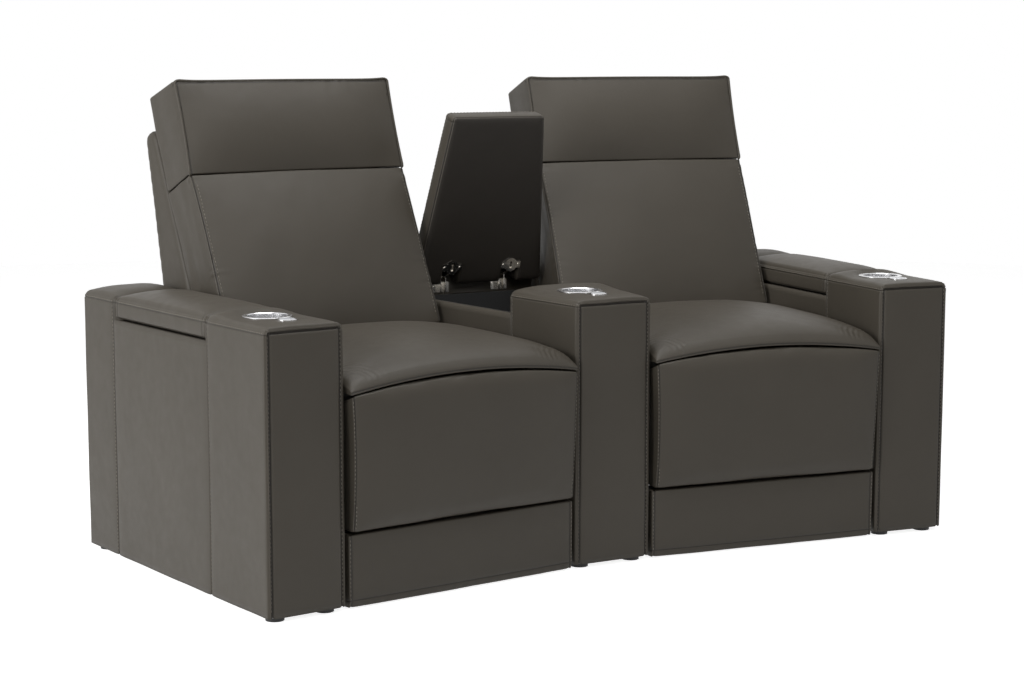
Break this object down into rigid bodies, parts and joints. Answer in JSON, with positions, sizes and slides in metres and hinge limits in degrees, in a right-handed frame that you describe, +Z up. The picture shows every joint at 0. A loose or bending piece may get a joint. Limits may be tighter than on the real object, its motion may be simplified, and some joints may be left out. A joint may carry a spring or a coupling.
{
  "type": "cinema recliner seat",
  "caption": "Curved-row cinema recliner with powered footrests, reclining backs, tilting headrests, lidded storage arms and cup holders.",
  "frame": {"origin": "centre of the row on the floor, midway between its foremost and rearmost points", "axes": "+Z up, +X along the row towards the sitters' left-hand side as drawn, the seats face -Y"},
  "size_m": [1.9862, 0.996, 1.1024],
  "materials": {
    "leather": "satin",
    "cup_steel": "satin",
    "pad_metal": "satin",
    "key_plastic": "gloss",
    "nickel": "polished",
    "black_plastic": "matte",
    "zinc_steel": "satin",
    "black_steel": "satin",
    "timber": "matte"
  },
  "bodies": {
    "root": {"glides": "black_plastic", "hinge_plates": "nickel", "left_arm_case": "leather", "left_bin_liner": "black_plastic", "left_cup_holder": "cup_steel", "left_control_pad": "pad_metal", "centre_arm_case": "leather", "centre_bin_liner": "black_plastic", "centre_cup_holder": "cup_steel", "centre_control_pad": "pad_metal", "right_arm_case": "leather", "right_bin_liner": "black_plastic", "right_cup_holder": "cup_steel", "right_control_pad": "pad_metal", "left_base_frame": "black_steel", "left_kick_board": "leather", "right_base_frame": "black_steel", "right_kick_board": "leather"},
    "left_lid": {"left_arm_lid": "leather", "left_hinge_cups": "nickel"},
    "left_recline_key": {"left_recline_key": "key_plastic"},
    "left_headrest_key": {"left_headrest_key": "key_plastic"},
    "centre_lid": {"centre_arm_lid": "leather", "centre_hinge_cups": "nickel"},
    "centre_recline_key": {"centre_recline_key": "key_plastic"},
    "centre_headrest_key": {"centre_headrest_key": "key_plastic"},
    "right_lid": {"right_arm_lid": "leather", "right_hinge_cups": "nickel"},
    "right_recline_key": {"right_recline_key": "key_plastic"},
    "right_headrest_key": {"right_headrest_key": "key_plastic"},
    "left_carriage": {"left_seat_frame": "black_steel", "left_seat_springs": "zinc_steel", "left_seat_cushion": "leather", "left_gear_motors": "black_plastic"},
    "left_main_links": {"left_main_links": "zinc_steel"},
    "left_far_links": {"left_far_links": "zinc_steel"},
    "left_cross_links": {"left_cross_links": "zinc_steel"},
    "left_tie_links": {"left_tie_links": "zinc_steel"},
    "left_leg_rest": {"left_leg_rest_board": "timber", "left_leg_rest_pad": "leather"},
    "left_back": {"left_back_frame": "black_steel", "left_back_cushion": "leather", "left_back_shell": "leather"},
    "left_headrest": {"left_headrest_frame": "black_steel", "left_headrest_pad": "leather"},
    "right_carriage": {"right_seat_frame": "black_steel", "right_seat_springs": "zinc_steel", "right_seat_cushion": "leather", "right_gear_motors": "black_plastic"},
    "right_main_links": {"right_main_links": "zinc_steel"},
    "right_far_links": {"right_far_links": "zinc_steel"},
    "right_cross_links": {"right_cross_links": "zinc_steel"},
    "right_tie_links": {"right_tie_links": "zinc_steel"},
    "right_leg_rest": {"right_leg_rest_board": "timber", "right_leg_rest_pad": "leather"},
    "right_back": {"right_back_frame": "black_steel", "right_back_cushion": "leather", "right_back_shell": "leather"},
    "right_headrest": {"right_headrest_frame": "black_steel", "right_headrest_pad": "leather"}
  },
  "joints": [
    {"name": "left_lid_hinge", "type": "hinge", "parent": "root", "child": "left_lid", "pos_m": [-0.87957, 0.19271, 0.608], "axis": [-0.9929, -0.1191, 0], "range_deg": [0, 85]},
    {"name": "left_recline_key_rock", "type": "hinge", "parent": "root", "child": "left_recline_key", "pos_m": [-0.80633, -0.41791, 0.6206], "axis": [0.9929, 0.1191, 0], "range_deg": [-4, 4], "stiffness_Nm_per_rad": 0.3},
    {"name": "left_headrest_key_rock", "type": "hinge", "parent": "root", "child": "left_headrest_key", "pos_m": [-0.80633, -0.41791, 0.6206], "axis": [0.9929, 0.1191, 0], "range_deg": [-4, 4], "stiffness_Nm_per_rad": 0.3},
    {"name": "centre_lid_hinge", "type": "hinge", "parent": "root", "child": "centre_lid", "pos_m": [0, 0.28143, 0.608], "axis": [-1, 0, 0], "range_deg": [-75, 10]},
    {"name": "centre_recline_key_rock", "type": "hinge", "parent": "root", "child": "centre_recline_key", "pos_m": [0, -0.33357, 0.6206], "axis": [1, 0, 0], "range_deg": [-4, 4], "stiffness_Nm_per_rad": 0.3},
    {"name": "centre_headrest_key_rock", "type": "hinge", "parent": "root", "child": "centre_headrest_key", "pos_m": [0, -0.33357, 0.6206], "axis": [1, 0, 0], "range_deg": [-4, 4], "stiffness_Nm_per_rad": 0.3},
    {"name": "right_lid_hinge", "type": "hinge", "parent": "root", "child": "right_lid", "pos_m": [0.87957, 0.19271, 0.608], "axis": [-0.9929, 0.1191, 0], "range_deg": [0, 85]},
    {"name": "right_recline_key_rock", "type": "hinge", "parent": "root", "child": "right_recline_key", "pos_m": [0.80633, -0.41791, 0.6206], "axis": [0.9929, -0.1191, 0], "range_deg": [-4, 4], "stiffness_Nm_per_rad": 0.3},
    {"name": "right_headrest_key_rock", "type": "hinge", "parent": "root", "child": "right_headrest_key", "pos_m": [0.80633, -0.41791, 0.6206], "axis": [0.9929, -0.1191, 0], "range_deg": [-4, 4], "stiffness_Nm_per_rad": 0.3},
    {"name": "left_seat_glide", "type": "slide", "parent": "root", "child": "left_carriage", "axis": [0.1191, -0.9929, 0], "range_m": [0, 0.1]},
    {"name": "left_recline", "type": "hinge", "parent": "left_carriage", "child": "left_back", "pos_m": [-0.47329, 0.15584, 0.342], "axis": [-0.9929, -0.1191, 0], "range_deg": [0, 38]},
    {"name": "left_headrest_tilt", "type": "hinge", "parent": "left_back", "child": "left_headrest", "pos_m": [-0.4857, 0.25929, 0.88351], "axis": [0.9929, 0.1191, 0], "range_deg": [0, 32]},
    {"name": "left_leg_rest_lift", "type": "hinge", "parent": "left_carriage", "child": "left_main_links", "pos_m": [-0.42156, -0.27544, 0.35615], "axis": [-0.9929, -0.1191, 0], "range_deg": [0, 57.95]},
    {"name": "left_far_link_pivot", "type": "hinge", "parent": "left_main_links", "child": "left_far_links", "pos_m": [-0.41935, -0.29386, 0.18214], "axis": [0.9929, 0.1191, 0], "range_deg": [0, 116.39]},
    {"name": "left_cross_link_pivot", "type": "hinge", "parent": "left_main_links", "child": "left_cross_links", "pos_m": [-0.42045, -0.28465, 0.26914], "axis": [0.9929, 0.1191, 0], "range_deg": [0, 116.39]},
    {"name": "left_tie_link_pivot", "type": "hinge", "parent": "left_far_links", "child": "left_tie_links", "pos_m": [-0.41684, -0.31475, 0.26707], "axis": [-0.9929, -0.1191, 0], "range_deg": [0, 116.39]},
    {"name": "left_leg_rest_pivot", "type": "hinge", "parent": "left_far_links", "child": "left_leg_rest", "pos_m": [-0.41433, -0.33564, 0.352], "axis": [-0.9929, -0.1191, 0], "range_deg": [0, 142.45]},
    {"name": "right_seat_glide", "type": "slide", "parent": "root", "child": "right_carriage", "axis": [-0.1191, -0.9929, 0], "range_m": [0, 0.1]},
    {"name": "right_recline", "type": "hinge", "parent": "right_carriage", "child": "right_back", "pos_m": [0.47329, 0.15584, 0.342], "axis": [-0.9929, 0.1191, 0], "range_deg": [0, 38]},
    {"name": "right_headrest_tilt", "type": "hinge", "parent": "right_back", "child": "right_headrest", "pos_m": [0.4857, 0.25929, 0.88351], "axis": [0.9929, -0.1191, 0], "range_deg": [0, 32]},
    {"name": "right_leg_rest_lift", "type": "hinge", "parent": "right_carriage", "child": "right_main_links", "pos_m": [0.42156, -0.27544, 0.35615], "axis": [-0.9929, 0.1191, 0], "range_deg": [0, 57.95]},
    {"name": "right_far_link_pivot", "type": "hinge", "parent": "right_main_links", "child": "right_far_links", "pos_m": [0.41935, -0.29386, 0.18214], "axis": [0.9929, -0.1191, 0], "range_deg": [0, 116.39]},
    {"name": "right_cross_link_pivot", "type": "hinge", "parent": "right_main_links", "child": "right_cross_links", "pos_m": [0.42045, -0.28465, 0.26914], "axis": [0.9929, -0.1191, 0], "range_deg": [0, 116.39]},
    {"name": "right_tie_link_pivot", "type": "hinge", "parent": "right_far_links", "child": "right_tie_links", "pos_m": [0.41684, -0.31475, 0.26707], "axis": [-0.9929, 0.1191, 0], "range_deg": [0, 116.39]},
    {"name": "right_leg_rest_pivot", "type": "hinge", "parent": "right_far_links", "child": "right_leg_rest", "pos_m": [0.41433, -0.33564, 0.352], "axis": [-0.9929, 0.1191, 0], "range_deg": [0, 142.45]}
  ],
  "couplings": [
    {"joint": "left_seat_glide", "follows": "left_recline", "m_per_rad": 0.15078},
    {"joint": "left_far_link_pivot", "follows": "left_leg_rest_lift", "ratio": 2},
    {"joint": "left_cross_link_pivot", "follows": "left_leg_rest_lift", "ratio": 2},
    {"joint": "left_tie_link_pivot", "follows": "left_leg_rest_lift", "ratio": 2},
    {"joint": "left_leg_rest_pivot", "follows": "left_leg_rest_lift", "ratio": 2.4496},
    {"joint": "right_seat_glide", "follows": "right_recline", "m_per_rad": 0.15078},
    {"joint": "right_far_link_pivot", "follows": "right_leg_rest_lift", "ratio": 2},
    {"joint": "right_cross_link_pivot", "follows": "right_leg_rest_lift", "ratio": 2},
    {"joint": "right_tie_link_pivot", "follows": "right_leg_rest_lift", "ratio": 2},
    {"joint": "right_leg_rest_pivot", "follows": "right_leg_rest_lift", "ratio": 2.4496}
  ]
}
